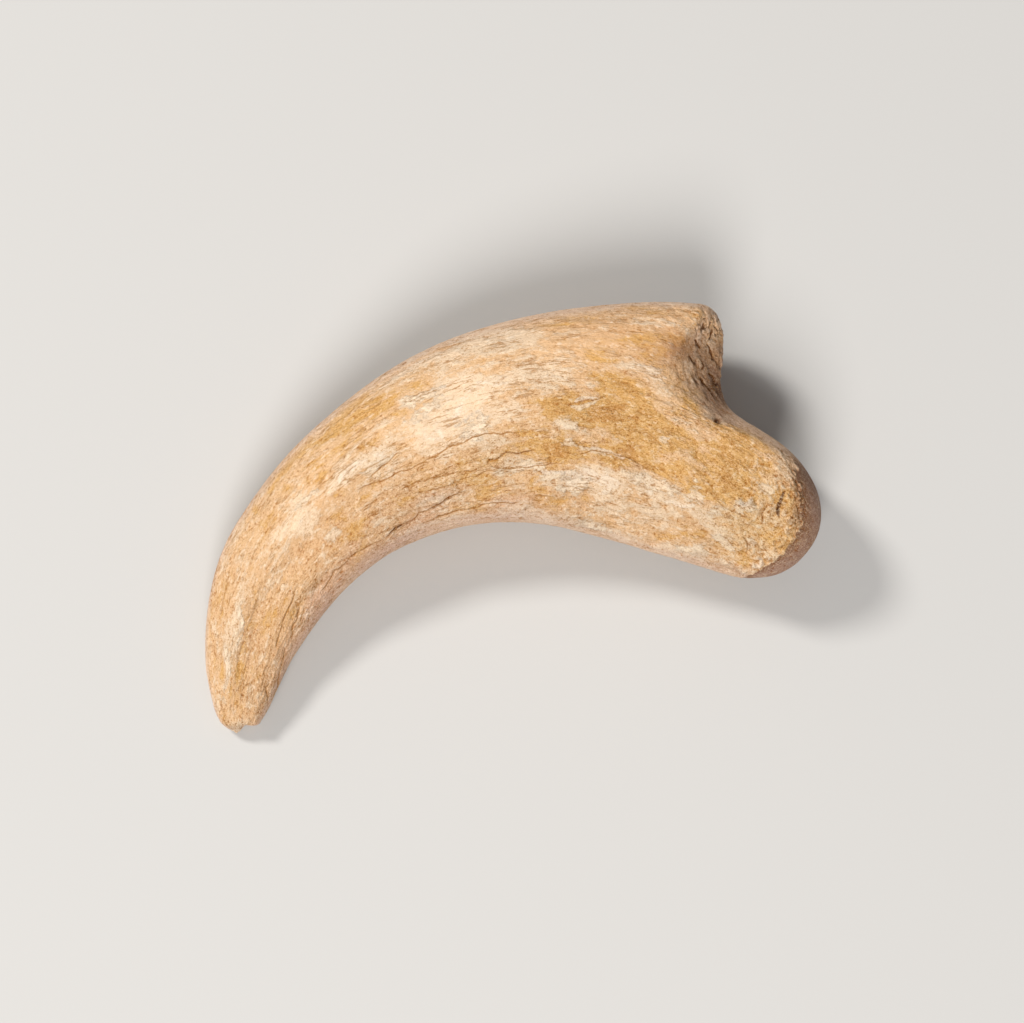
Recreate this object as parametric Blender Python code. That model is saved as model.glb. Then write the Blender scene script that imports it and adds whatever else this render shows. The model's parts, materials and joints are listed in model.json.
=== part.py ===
"""Fossil claw bone of a meat-eating dinosaur, one solid piece lying on its side.

The bone is drawn in its own flat plane, X towards the joint end and Y towards the back,
with Z across it. A stack of oval sections runs from the tip to the joint end, where the
outline is closed by the socket for the finger bone, above, and by the heel that the tendon
pulled on, below. Then come the ridges, grooves and lumps of its sides, and the lean at which
it lies. Lengths are in millimetres here, and become metres where the points are made.
"""

import math

import bmesh
import bpy
import numpy as np
from mathutils import Matrix, Vector, noise

MM = 0.001

# Sections from the tip to the joint end: where each meets the back edge (x, y) and the
# belly edge (x, y), and half the bone's thickness there.
SECTIONS = [
    (-67.3, -52.3, -67.3, -52.3, 0.0),
    (-69.9, -50.9, -64.4, -51.2, 2.2),
    (-71.8, -48.4, -61.2, -49.2, 3.4),
    (-73.5, -42.8, -58.3, -44.0, 4.7),
    (-74.7, -34.8, -54.1, -35.2, 6.1),
    (-74.2, -22.0, -49.3, -27.8, 7.6),
    (-70.4, -7.4, -43.9, -20.7, 9.3),
    (-62.6, 5.4, -37.6, -14.5, 11.0),
    (-53.4, 16.8, -30.4, -9.1, 12.6),
    (-42.8, 26.5, -22.5, -5.3, 14.0),
    (-31.2, 35.2, -14.0, -2.6, 15.2),
    (-18.2, 42.2, -5.2, -1.3, 16.2),
    (-4.6, 46.9, 3.5, -1.2, 17.0),
    (9.4, 50.0, 12.2, -2.5, 17.4),
    (23.8, 51.8, 20.9, -4.8, 17.4),
    (35.0, 52.3, 33.0, -8.3, 17.0),
    (42.0, 52.1, 53.6, -14.5, 16.2),
]
# The joint end's outline: how far it is from back (0) to belly (1), and its point (x, y).
JOINT_END = [
    (0.00, 45.5, 51.9),
    (0.04, 48.2, 50.9),
    (0.09, 50.3, 48.2),
    (0.14, 51.1, 44.8),
    (0.22, 51.0, 39.5),
    (0.30, 50.5, 33.5),
    (0.36, 50.7, 29.0),
    (0.40, 52.6, 25.9),
    (0.46, 57.2, 22.9),
    (0.53, 62.3, 19.7),
    (0.60, 67.2, 16.2),
    (0.67, 71.2, 11.7),
    (0.74, 74.0, 6.4),
    (0.81, 75.0, 0.8),
    (0.87, 74.0, -4.6),
    (0.92, 71.2, -8.9),
    (0.96, 67.0, -12.7),
    (0.985, 62.0, -14.6),
    (1.00, 57.0, -14.9),
]
# How the thickness runs out at the joint end, by place from back to belly: the length over
# which it does, the heading there in degrees, and how far it is a dished socket wall (1)
# or a round end (0).
JOINT_RUNOUT = [
    (0.00, 3.5, -3.0, 0.0),
    (0.06, 5.0, 0.0, 0.4),
    (0.12, 8.5, 0.0, 0.9),
    (0.20, 13.0, -2.0, 1.0),
    (0.28, 15.0, 0.0, 1.0),
    (0.34, 12.0, 6.0, 1.0),
    (0.39, 7.0, 18.0, 0.7),
    (0.46, 5.0, 22.0, 0.2),
    (0.58, 5.5, 24.0, 0.0),
    (0.70, 8.0, 14.0, 0.0),
    (0.80, 9.5, 0.0, 0.0),
    (0.88, 9.0, -14.0, 0.0),
    (0.94, 6.5, -22.0, 0.0),
    (1.00, 3.4, -8.0, 0.0),
]
FAN_START = 95.0  # along the bone, where the sections start to bend towards the joint end
OVAL_POWER = 2.35  # 2 is a true ellipse, more is boxier
BELLY_FULLNESS = 0.06  # how far the thickest line lies below the middle, as a share of height
ROUND_POWER = 2.2  # of the round end over the heel
DISH_HOLLOW = 0.7  # more makes the socket's walls more hollow

TIP_RINGS = 6
TIP_LENGTH = 4.5
BODY_RINGS = 56
END_RINGS = 12
HALF_STEPS = 32  # from back to belly, on each side

# Lines of relief on both sides: height (a groove's is negative), half width, and the line.
CREST_LINE = [
    (-69.8, -46), (-70, -39), (-69, -31), (-64, -18), (-56, -4), (-46, 5), (-36, 12), (-18, 28),
]
CLAW_GROOVE_LINE = [
    (-65.6, -46), (-65, -37), (-59, -20), (-52, -10), (-42, -1), (-33, 7), (-22, 13), (-6, 20),
    (4, 21), (15, 22.5),
]
CREST = (0.8, 2.6, CREST_LINE)
CLAW_GROOVE = (-0.9, 2.6, CLAW_GROOVE_LINE)
HEEL_CREST = (0.8, 5.0, [(18, 6), (33, 3), (46, 0.6), (60, -0.6)])
SIDE_HOLLOW = (-1.1, 9.0, [(14, 24), (30, 22), (42, 19)])
# Lines of relief on the upper side only.
UPPER_LINES = [
    (-0.55, 1.8, [(-29, 6), (-22, 9), (-14, 11), (-2, 14.7), (11, 17), (21, 19)]),
    (-0.8, 1.8, [(-29, -3), (-26, -1), (-22, 1.3), (-16, 4.7), (-10, 7.2)]),
    (0.5, 2.2, [(-44, -17), (-37, -10), (-28, -5), (-20, -2), (-8, 1.3), (7, 1.3), (21, -2)]),
    (-0.6, 1.8, [(-53, -25), (-50, -21), (-44, -13)]),
    (0.6, 1.6, [(49.5, 44), (49, 38), (47, 33)]),
]
# Lines of relief on the lower side only.
LOWER_LINES = [
    (-0.5, 1.9, [(-24, 3), (-12, 9), (2, 11), (16, 11)]),
    (0.5, 2.4, [(-40, -12), (-24, -3), (-6, 2), (12, 1)]),
    (-0.6, 1.8, [(30, 36), (36, 33), (40, 28)]),
]
# Single pits and lumps: height, radius, and the middle (x, y).
UPPER_SPOTS = [
    (0.9, 4.5, (66, 3)),
    (-0.8, 2.6, (61.5, -3)),
    (-0.7, 2.4, (68, -7)),
    (-1.0, 1.7, (45.5, 43)),
    (-1.1, 1.7, (46.5, 37.5)),
    (-0.9, 1.7, (43, 39.5)),
    (-1.0, 1.7, (48, 31.5)),
    (0.5, 3.0, (-20, 30)),
]
LOWER_SPOTS = [
    (0.9, 5.0, (63, 5)),
    (-0.8, 2.6, (58, -6)),
    (-1.0, 1.8, (46, 41)),
    (-1.0, 1.8, (47, 34)),
    (0.6, 4.0, (-14, 33)),
]
LINE_FADE = 0.16  # share of each line over which it rises, at both ends
RIM_FADE = 0.45  # relief is full where the bone is thicker than this share of its section
THINNEST = 0.01  # of a section, at the point of the tip

# The notch between socket and heel, where the rows of points crowd together.
NOTCH = (45.0, 27.0)
NOTCH_RADIUS = 14.0
NOTCH_SMOOTHINGS = 8
NOTCH_SMOOTHING = 0.5  # how far each smoothing moves a point towards its neighbours' middle

LUMP_HEIGHT = 0.45
LUMP_SPACING = 9.0
FINE_LUMP_HEIGHT = 0.16
FINE_LUMP_SPACING = 3.5

# The bone leans until its side rests on three spots, which are worn flat.
LEAN_ABOUT_X = 9.6
LEAN_ABOUT_Y = -1.8
WORN_DEPTH = 0.45

BONE_COLOUR = (0.70, 0.47, 0.25, 1.0)
BONE_ROUGHNESS = 0.75


def smooth_curve(knots, values, at):
    """A smooth curve through values at the knots, read at the given places."""
    knots = np.asarray(knots, float)
    values = np.asarray(values, float)
    at = np.asarray(at, float)
    slopes = np.gradient(values, knots, axis=0)
    span = np.clip(np.searchsorted(knots, at, side="right") - 1, 0, len(knots) - 2)
    width = knots[span + 1] - knots[span]
    t = (at - knots[span]) / width
    shape = (slice(None),) + (None,) * (values.ndim - 1)
    t, width = t[shape], width[shape]
    return (
        values[span] * (1 + 2 * t) * (1 - t) ** 2
        + values[span + 1] * t * t * (3 - 2 * t)
        + slopes[span] * width * t * (1 - t) ** 2
        - slopes[span + 1] * width * t * t * (1 - t)
    )


def smooth_step(x):
    x = np.clip(x, 0.0, 1.0)
    return x * x * (3 - 2 * x)


def section_places():
    """How far along the bone each section lies, measured through the middles."""
    rows = np.array(SECTIONS)
    middles = (rows[:, 0:2] + rows[:, 2:4]) / 2
    steps = np.hypot(*np.diff(middles, axis=0).T)
    return np.concatenate([[0.0], np.cumsum(steps)])


def ring_places(length):
    """Where the body's rings lie along the bone: close together at the tip, then even."""
    tip = TIP_LENGTH * np.linspace(0.0, 1.0, TIP_RINGS, endpoint=False) ** 2
    return np.concatenate([tip, np.linspace(TIP_LENGTH, length, BODY_RINGS)])


def oval():
    """Place from back to belly, and share of the half thickness, at each step of a half ring."""
    angle = np.linspace(0.0, math.pi, HALF_STEPS + 1)
    sine = np.sin(angle).clip(0.0)
    across = np.sign(np.cos(angle)) * np.abs(np.cos(angle)) ** (2 / OVAL_POWER)
    place = (1 - across) / 2 + BELLY_FULLNESS * sine**2
    return place, sine ** (2 / OVAL_POWER)


def joint_end(place):
    """The joint end at each place from back to belly: its outline, the way out to it, its dishing."""
    outline = np.array(JOINT_END)
    rim = smooth_curve(outline[:, 0], outline[:, 1:3], place)
    runout = np.array(JOINT_RUNOUT)
    length, heading, dished = smooth_curve(runout[:, 0], runout[:, 1:4], place).T
    heading = np.radians(heading)
    way_out = length[:, None] * np.stack([np.cos(heading), np.sin(heading)], axis=1)
    return rim, way_out, dished


def closing(dished):
    """Share of the way out still to go, and of the thickness left, at each ring of the joint end."""
    quarter = np.arange(1, END_RINGS + 1) / END_RINGS * math.pi / 2
    gone = np.sin(quarter) ** (2 / ROUND_POWER)
    round_fall = np.cos(quarter).clip(0.0) ** (2 / ROUND_POWER)
    dish_fall = np.sqrt((1 - gone**2).clip(0.0)) * (1 - DISH_HOLLOW * smooth_step(gone))
    fall = round_fall[:, None] * (1 - dished) + dish_fall[:, None] * dished
    fall[-1] = 0.0
    return 1 - gone, fall


def half_rings():
    """The rings' steps from back to belly, tip first: flat points, and half the thickness there."""
    places = section_places()
    along = ring_places(places[-1])
    read = smooth_curve(places, np.array(SECTIONS), along)
    back, belly, half = read[:, 0:2], read[:, 2:4], read[:, 4]
    place, share = oval()
    rim, way_out, dished = joint_end(place)

    straight = back[:, None] * (1 - place)[:, None] + belly[:, None] * place[:, None]
    bend = smooth_step((along - FAN_START) / (places[-1] - FAN_START))
    body = straight + bend[:, None, None] * (rim - way_out - straight[-1])
    body_half = half[:, None] * share

    left, fall = closing(dished)
    ends = rim - left[:, None, None] * way_out
    ends_half = body_half[-1] * fall
    return np.concatenate([body, ends]), np.concatenate([body_half, ends_half])


def line_relief(points, height, half_width, line):
    """Relief of a ridge or groove that follows a line, at flat points."""
    line = np.array(line, float)
    steps = np.diff(line, axis=0)
    lengths = np.hypot(*steps.T)
    starts = np.concatenate([[0.0], np.cumsum(lengths)[:-1]])
    away = points[..., None, :] - line[:-1]
    share = np.clip((away * steps).sum(-1) / lengths**2, 0.0, 1.0)
    distance = np.linalg.norm(away - share[..., None] * steps, axis=-1)
    nearest = distance.argmin(axis=-1)[..., None]
    distance = np.take_along_axis(distance, nearest, -1)[..., 0]
    reached = np.take_along_axis(starts + share * lengths, nearest, -1)[..., 0] / lengths.sum()
    fade = smooth_step(reached / LINE_FADE) * smooth_step((1 - reached) / LINE_FADE)
    return height * fade * np.exp(-((distance / half_width) ** 2))


def side_relief(points, lines, spots):
    """All the ridges, grooves, pits and lumps of one side, at flat points."""
    relief = np.zeros(points.shape[:-1])
    for height, half_width, line in [CREST, CLAW_GROOVE, HEEL_CREST, SIDE_HOLLOW, *lines]:
        relief += line_relief(points, height, half_width, line)
    for height, radius, middle in spots:
        distance = np.linalg.norm(points - np.array(middle), axis=-1)
        relief += height * np.exp(-((distance / radius) ** 2))
    return relief


def whole_rings():
    """All rings as points in space, each from the back over the upper side and back below."""
    points, half = half_rings()
    full = half.max(axis=1, keepdims=True).clip(THINNEST)
    kept = smooth_step(half / full / RIM_FADE)
    sides = []
    for sign, lines, spots in ((1, UPPER_LINES, UPPER_SPOTS), (-1, LOWER_LINES, LOWER_SPOTS)):
        z = sign * (half + kept * side_relief(points, lines, spots))
        sides.append(np.concatenate([points, z[..., None]], axis=2))
    upper, lower = sides
    return np.concatenate([upper, lower[:, -2:0:-1]], axis=1)


def sew(bm):
    """One closed mesh from the rings: a fan at the tip, and both sides met along the joint end."""
    rings = whole_rings()
    count = rings.shape[1]
    tip = bm.verts.new(Vector(rings[0, 0]) * MM)
    rows = [[bm.verts.new(Vector(point) * MM) for point in ring] for ring in rings[1:-1]]
    seam = [bm.verts.new(Vector(point) * MM) for point in rings[-1, : HALF_STEPS + 1]]
    rows.append(seam + seam[-2:0:-1])
    for k in range(count):
        bm.faces.new((tip, rows[0][(k + 1) % count], rows[0][k]))
    for low, high in zip(rows, rows[1:]):
        for k in range(count):
            corners = (low[k], low[(k + 1) % count], high[(k + 1) % count], high[k])
            bm.faces.new(dict.fromkeys(corners))
    bmesh.ops.recalc_face_normals(bm, faces=bm.faces)


def soften_notch(bm):
    """Evens the thickness round the notch."""
    notch = Vector(NOTCH)
    near = [vert for vert in bm.verts if (vert.co.xy / MM - notch).length < NOTCH_RADIUS]
    for _ in range(NOTCH_SMOOTHINGS):
        bmesh.ops.smooth_vert(bm, verts=near, factor=NOTCH_SMOOTHING, use_axis_z=True)


def raise_lumps(bm):
    """Uneven lumps over the sides, fading out towards the bone's middle plane to keep its outline."""
    bm.normal_update()
    moves = []
    for vert in bm.verts:
        spot = vert.co / MM
        lump = LUMP_HEIGHT * noise.noise(spot / LUMP_SPACING)
        lump += FINE_LUMP_HEIGHT * noise.noise(spot / FINE_LUMP_SPACING)
        moves.append(lump * abs(vert.normal.z) * vert.normal * MM)
    for vert, move in zip(bm.verts, moves):
        vert.co += move


def lay_down(bm):
    """Leans the bone, wears the spots it rests on flat, and centres its footprint on the origin."""
    about_x = Matrix.Rotation(math.radians(LEAN_ABOUT_X), 4, "X")
    about_y = Matrix.Rotation(math.radians(LEAN_ABOUT_Y), 4, "Y")
    bmesh.ops.transform(bm, matrix=about_y @ about_x, verts=bm.verts)
    points = np.array([vert.co for vert in bm.verts])
    low, high = points.min(axis=0), points.max(axis=0)
    middle = (low + high) / 2
    floor = low[2] + WORN_DEPTH * MM
    for vert in bm.verts:
        x, y, z = vert.co
        vert.co = (x - middle[0], y - middle[1], max(z - floor, 0.0))


def add_bone(collection):
    bm = bmesh.new()
    sew(bm)
    soften_notch(bm)
    raise_lumps(bm)
    lay_down(bm)
    mesh = bpy.data.meshes.new("claw")
    bm.to_mesh(mesh)
    bm.free()
    bone = bpy.data.objects.new("claw", mesh)
    collection.objects.link(bone)
    return bone


def main():
    for old in list(bpy.data.objects):
        bpy.data.objects.remove(old)
    collection = bpy.data.collections.new("fossil_claw")
    bpy.context.scene.collection.children.link(collection)
    material = bpy.data.materials.new("fossil_bone")
    material.use_nodes = True
    shader = material.node_tree.nodes["Principled BSDF"]
    shader.inputs["Base Color"].default_value = BONE_COLOUR
    shader.inputs["Roughness"].default_value = BONE_ROUGHNESS
    shader.inputs["Metallic"].default_value = 0.0
    add_bone(collection).data.materials.append(material)


main()
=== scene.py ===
# Looks for a fossil claw bone that lies on its side on a plain floor.
# Places on the bone are in its own flat plane, in millimetres: x towards the joint end,
# y towards the back, z across, which is up on the side that shows.

import json
import math

import bpy
import numpy as np
from mathutils import Matrix, Vector, noise

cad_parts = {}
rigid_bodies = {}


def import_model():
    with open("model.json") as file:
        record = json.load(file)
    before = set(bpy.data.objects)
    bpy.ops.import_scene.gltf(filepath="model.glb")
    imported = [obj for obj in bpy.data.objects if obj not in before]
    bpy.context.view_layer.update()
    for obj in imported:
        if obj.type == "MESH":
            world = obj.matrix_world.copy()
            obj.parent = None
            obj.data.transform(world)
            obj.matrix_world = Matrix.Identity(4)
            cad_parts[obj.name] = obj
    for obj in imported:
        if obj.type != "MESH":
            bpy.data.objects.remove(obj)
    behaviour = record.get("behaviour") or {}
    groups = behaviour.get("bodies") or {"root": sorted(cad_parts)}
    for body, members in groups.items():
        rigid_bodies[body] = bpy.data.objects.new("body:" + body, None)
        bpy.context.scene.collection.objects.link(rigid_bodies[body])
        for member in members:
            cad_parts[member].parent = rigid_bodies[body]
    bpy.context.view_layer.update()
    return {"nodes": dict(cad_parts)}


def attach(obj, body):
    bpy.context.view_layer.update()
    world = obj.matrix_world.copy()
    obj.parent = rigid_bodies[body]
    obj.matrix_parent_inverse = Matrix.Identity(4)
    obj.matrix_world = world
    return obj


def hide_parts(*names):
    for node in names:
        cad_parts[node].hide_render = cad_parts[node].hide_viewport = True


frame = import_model()

mm = 0.001

# how the bone's own plane lies in the frame: two turns in degrees, and its middle
lie = {
    "leanAboutX": 9.6,
    "leanAboutY": -1.8,
    "origin": (-0.18, -0.23, 13.55),
}
turn = (
    Matrix.Rotation(math.radians(lie["leanAboutY"]), 3, "Y")
    @ Matrix.Rotation(math.radians(lie["leanAboutX"]), 3, "X")
)


def fromBone(places):  # bone plane millimetres to frame metres
    return (np.asarray(places) @ np.array(turn).T + lie["origin"]) * mm


def toBone(places):  # frame metres to bone plane millimetres
    return (np.asarray(places) / mm - lie["origin"]) @ np.array(turn)


eyeHeight = 691.0  # the lines and patches are drawn as seen from this height over the bone's plane


def asSeen(bone):
    return bone[:, :2] / (1 - bone[:, 2:] / eyeHeight)


# numbers over the surface

def smoothStep(x, low=0.0, high=1.0):
    t = np.clip((x - low) / (high - low), 0.0, 1.0)
    return t * t * (3 - 2 * t)


def bell(distance, width, power=2):  # 1 on a line or a spot, 0 away from it
    return np.exp(-((distance / width) ** power))


def lineDistance(places, line):  # distance to a drawn line, how far along it, and on which side
    line = np.array(line, float)
    steps = np.diff(line, axis=0)
    lengths = np.hypot(*steps.T)
    starts = np.concatenate([[0.0], np.cumsum(lengths)[:-1]])
    best = np.full(len(places), np.inf)
    reached = np.zeros(len(places))
    side = np.ones(len(places))
    for start, step, length, begun in zip(line, steps, lengths, starts):
        away = places - start
        share = np.clip(away @ step / length**2, 0.0, 1.0)
        distance = np.linalg.norm(away - share[:, None] * step, axis=1)
        closer = distance < best
        best[closer] = distance[closer]
        reached[closer] = begun + share[closer] * length
        side[closer] = np.where(step[0] * away[:, 1] - step[1] * away[:, 0] < 0, -1.0, 1.0)[closer]
    return best, reached / lengths.sum(), side


def fadedEnds(reached, share):  # a line fades in and out over this share of its length
    return smoothStep(reached, 0.0, share) * smoothStep(1 - reached, 0.0, share)


# seeds shift the noise along these directions; a fractal adds finer octaves of this strength and step
noiseLook = {
    "plainShift": Vector((1.0, -1.0, 0.5)),
    "fractalShift": Vector((1.0, 0.7, -1.3)),
    "cellShift": Vector((1.0, 1.7, 0.4)),
    "fineness": 0.6,
    "octaveStep": 2.0,
}
# fractal noise: how tight it is along, across and through the bone, octaves, and seed
fractals = {
    "furrows": ((0.045, 0.36, 0.36), 4, 3.0),
    "fibres": ((0.2, 0.85, 0.85), 3, 11.0),
    "layers": ((0.075, 0.15, 0.15), 5, 21.0),
    "crust": ((1 / 1.7, 1 / 1.7, 1 / 1.7), 3, 31.0),
    "socketThreads": ((0.6, 0.14, 0.35), 3, 41.0),
    "socketLumps": ((0.4, 0.2, 0.26), 3, 47.0),
}
# plain waves: their size in millimetres, their strength, and a seed for each direction
waves = {
    "socketEdge": (2.0, 0.25, [91.0]),
    "capLine": (2.6, 1.0, [4.0]),
    "capLineFine": (1.0, 0.7, [14.0]),
    "lumpBend": (3.0, 1.2, [33.0, 36.0, 39.0]),
    "pebbleBend": (1.0, 0.4, [63.0]),
    "pebblePatches": (4.0, 1.0, [65.0]),
    "crackWander": (2.6, 0.55, [51.0, 57.0]),
    "crackShake": (0.9, 0.16, [61.0, 67.0]),
    "stainWobble": (7.0, 2.2, [71.0, 81.0]),
}


def fractal(name, places):  # about -1 to 1
    tightness, octaves, seed = fractals[name]
    shift = noiseLook["fractalShift"] * seed
    fineness, step = noiseLook["fineness"], noiseLook["octaveStep"]
    return np.array([noise.fractal(Vector(p) + shift, fineness, step, octaves) for p in places * tightness])


def wave(name, places):  # one column for each seed
    size, strength, seeds = waves[name]
    columns = []
    for seed in seeds:
        shift = noiseLook["plainShift"] * seed
        columns.append([noise.noise(Vector(p) + shift) for p in places / size])
    return strength * np.array(columns).T


def cells(places, seed):  # distance to the nearest and to the next cell point
    shift = noiseLook["cellShift"] * seed
    found = [noise.voronoi(Vector(p) + shift)[0] for p in places]
    return np.array([(f[0], f[1]) for f in found]).T


# the middle line of the bone from tip to heel, and its half width there
grain = {
    "middle": [
        (-67, -52, 3), (-66, -45, 7.5), (-64, -34, 10.5), (-61, -24, 12.5), (-56, -13, 15),
        (-49, -4, 17), (-41, 5, 19), (-32, 11, 21), (-22, 16, 23), (-11, 20, 25), (0, 23, 26),
        (12, 24, 27), (24, 23, 28), (36, 19, 29), (48, 13, 29), (60, 6, 27), (74, -4, 24),
    ],
    "samples": 400,
    "smoothings": 500,
    "atOnce": 4000,
}


def grainPlaces(bone):  # along the grain, across it, and across as a share of the half width
    middle = np.array(grain["middle"], float)
    steps = np.hypot(*np.diff(middle[:, :2], axis=0).T)
    knots = np.concatenate([[0.0], np.cumsum(steps)])
    places = np.linspace(0.0, knots[-1], grain["samples"])
    dense = np.stack([np.interp(places, knots, middle[:, k]) for k in range(3)], axis=1)
    for _ in range(grain["smoothings"]):
        dense[1:-1] = (dense[:-2] + 2 * dense[1:-1] + dense[2:]) / 4
    heading = np.gradient(dense[:, :2], axis=0)
    heading /= np.linalg.norm(heading, axis=1, keepdims=True)
    nearest = np.zeros(len(bone), int)
    for first in range(0, len(bone), grain["atOnce"]):
        some = slice(first, first + grain["atOnce"])
        away = bone[some, None, :2] - dense[None, :, :2]
        nearest[some] = (away**2).sum(-1).argmin(1)
    away = bone[:, :2] - dense[nearest, :2]
    ahead = (away * heading[nearest]).sum(1)
    across = heading[nearest, 0] * away[:, 1] - heading[nearest, 1] * away[:, 0]
    return places[nearest] + ahead, across, across / dense[nearest, 2]


# a crack or the edge of a layer: depth, drop on its belly side, and its line over the upper side
cracks = {
    "topFurrow": (0.34, 0.2, [
        (-40, 5.5), (-35, 8), (-30, 10), (-26, 11.7), (-21.9, 13.4), (-18, 15.5), (-15, 17.4),
        (-9.7, 19.6), (-5, 20.6), (1, 20.4), (6, 21.5),
    ]),
    "topBranch": (0.24, 0.12, [(-35.5, 9.1), (-31, 13), (-28, 15.6), (-25.8, 16.2)]),
    "midFurrow": (0.3, 0.12, [
        (-29.2, 6.2), (-25, 8), (-21.9, 9.1), (-18, 9.7), (-13.6, 11.1), (-10, 11.6), (-6.3, 13.2),
    ]),
    "midCrack": (0.6, 0.15, [(-6.6, 12.6), (-5.6, 14), (-3.4, 14.4), (-1.9, 15.9), (2, 15.9), (6, 16.4)]),
    "lowFurrow": (0.26, 0.1, [
        (-26, 4.2), (-21, 6.1), (-17, 7.4), (-10, 10), (-4, 11.9), (3, 12.2), (8, 12.8), (16, 14),
    ]),
    "bellyCrack": (0.36, 0.5, [
        (-29.9, -4.3), (-28.4, -2.6), (-25.8, -1.3), (-22, 1.1), (-17, 3.8), (-12, 6.4), (-10.2, 7.2),
    ]),
    "bellyCrackStart": (0.9, 0.0, [(-30.4, -4.9), (-29.6, -3.7), (-28.4, -2.6), (-26.4, -1.6)]),
    "bellyCrackEnd": (0.7, 0.0, [(-20, 2.3), (-17, 3.8), (-14.6, 5.1)]),
    "bellyLine": (0.3, 0.25, [(-47, -19), (-43, -13), (-38, -8.5), (-33, -5.6), (-29.9, -4.3)]),
    "bellyThread": (0.3, 0.1, [(-24, -2.5), (-15, 1.2), (-5, 3.4), (4, 3.6)]),
    "tick": (0.45, 0.0, [(-14.4, 9.2), (-13.4, 7.5), (-12.2, 6.6)]),
    "distalCrack": (0.4, 0.1, [(-53.7, -29), (-53, -25.5), (-51.6, -22)]),
    "distalThread": (0.3, 0.1, [(-58, -33), (-56.5, -27), (-55, -22), (-52, -16)]),
    "tipCrack": (0.5, 0.1, [(-59.6, -45), (-60.1, -42), (-59, -39.8)]),
    "tipLine": (0.45, 0.1, [(-57.5, -44), (-57, -38), (-55, -32)]),
    "heelCrack": (0.8, 0.3, [(66.6, 6.9), (65.4, 5.0), (64.6, 3.2), (64.2, 1.4), (64.5, -0.6)]),
    "heelScar": (0.5, -0.2, [(69.3, 3), (69.6, 0), (68.6, -2.4)]),
    "heelNick": (0.5, 0.2, [(62.2, 3), (60.5, 0.6), (60.6, -2)]),
    "heelThread": (0.4, 0.2, [(55.6, -4.2), (56.9, -6.4), (56.5, -8.9)]),
    "heelFold": (0.45, -0.2, [(64, -10.4), (67, -9.8), (70, -7)]),
    "flakeEdge": (0.4, -0.2, [(15.6, 15.4), (19, 16.2), (24, 15.6), (29, 14), (32, 12.6)]),
    "upperThread": (0.25, 0.1, [(12, 27.5), (18, 28.4), (24, 30)]),
    "edgeThread": (0.15, 0.0, [(10, -0.6), (17, -2.4), (25, -5.4), (31, -7.6)]),
    "socketGap1": (1.0, 0.0, [(46.6, 47.4), (46.4, 46.0), (45.6, 44.8)]),
    "socketGap2": (1.0, 0.0, [(48.4, 46.2), (48.7, 44.6), (48.2, 43.0)]),
    "socketGap3": (0.9, 0.0, [(44.6, 43.4), (45.0, 42.0), (45.9, 40.8)]),
    "socketGap4": (1.0, 0.0, [(47.3, 42.4), (48.0, 40.8), (48.4, 39.2), (48.2, 37.8)]),
    "socketGap5": (0.8, 0.0, [(43.0, 39.6), (43.6, 38.0), (44.6, 36.8)]),
    "socketGap6": (0.9, 0.0, [(45.6, 38.4), (46.2, 36.8), (46.0, 35.4)]),
    "socketGap7": (1.0, 0.0, [(45.2, 34.4), (46.6, 32.6), (48.0, 31.0), (49.2, 29.2)]),
    "socketGap8": (0.8, 0.0, [(47.6, 35.4), (48.6, 33.6), (49.4, 31.8)]),
}
# a hole: depth, radius, and its middle
holes = {
    "vessel": (2.2, 0.75, (49.8, 23.8)),
    "tipPit": (0.35, 0.3, (-65.8, -43.2)),
    "lowHeelPit": (0.35, 0.3, (52.8, -11.3)),
}
# a flake that stands up: height and its line
flakes = {
    "longFlake": (0.35, [(16.5, 16.6), (20, 16.8), (24.5, 15.6), (29, 13.6)]),
    "paleFlake": (0.25, [(13.5, 28.2), (18, 29), (21.6, 29.9)]),
    "smallFlake": (0.25, [(35, 19.8), (38.5, 19)]),
    "heelFlake": (0.3, [(53.5, 4.4), (56.4, 3.2), (59, 4.8)]),
    "heelRing": (0.4, [(57.8, -10.4), (58.6, -11.8), (60.0, -11.6), (60.4, -10.2), (59.2, -9.4)]),
    "lowFlake": (0.25, [(35, 4.4), (40, 3), (46, 2.6)]),
    "bandFlake": (0.2, [(5, 11.4), (11, 10.8), (17, 11)]),
}
# the chipped end of the tip: height change, middle, and reach along x and y
tipChips = [
    (0.5, (-62.2, -49.8), (1.2, 1.0)),
    (-0.9, (-64.8, -51.2), (1.3, 1.1)),
]
# where a part of the bone begins and where it is full, by bone place, grain or the way that it faces
regions = {
    "upper": (-0.05, 0.25),
    "socketFacing": (0.35, 0.85),
    "socketUp": (24, 31),
    "socketAlong": (39, 45),
    "socketFoot": (41, 36),
    "capEdge": (-0.3, 0.3),
    "capBand": (3.0, 0.5),
    "capUp": (16, 11),
    "capAlong": (50, 56),
    "heelAlong": (48, 60),
    "heelUp": (18, 8),
    "jointEnd": (85, 125),
    "distalEnd": (75, 35),
    "rim": (0.8, 0.3),
    "outline": (0.1, 0.45),
    "pebbles": (0.0, 0.35),
    "pebblePatches": (-0.3, 0.2),
    "layerEdge": (0.42, 0.58),
    "crackReach": (2.5, 0.8),
}

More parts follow.
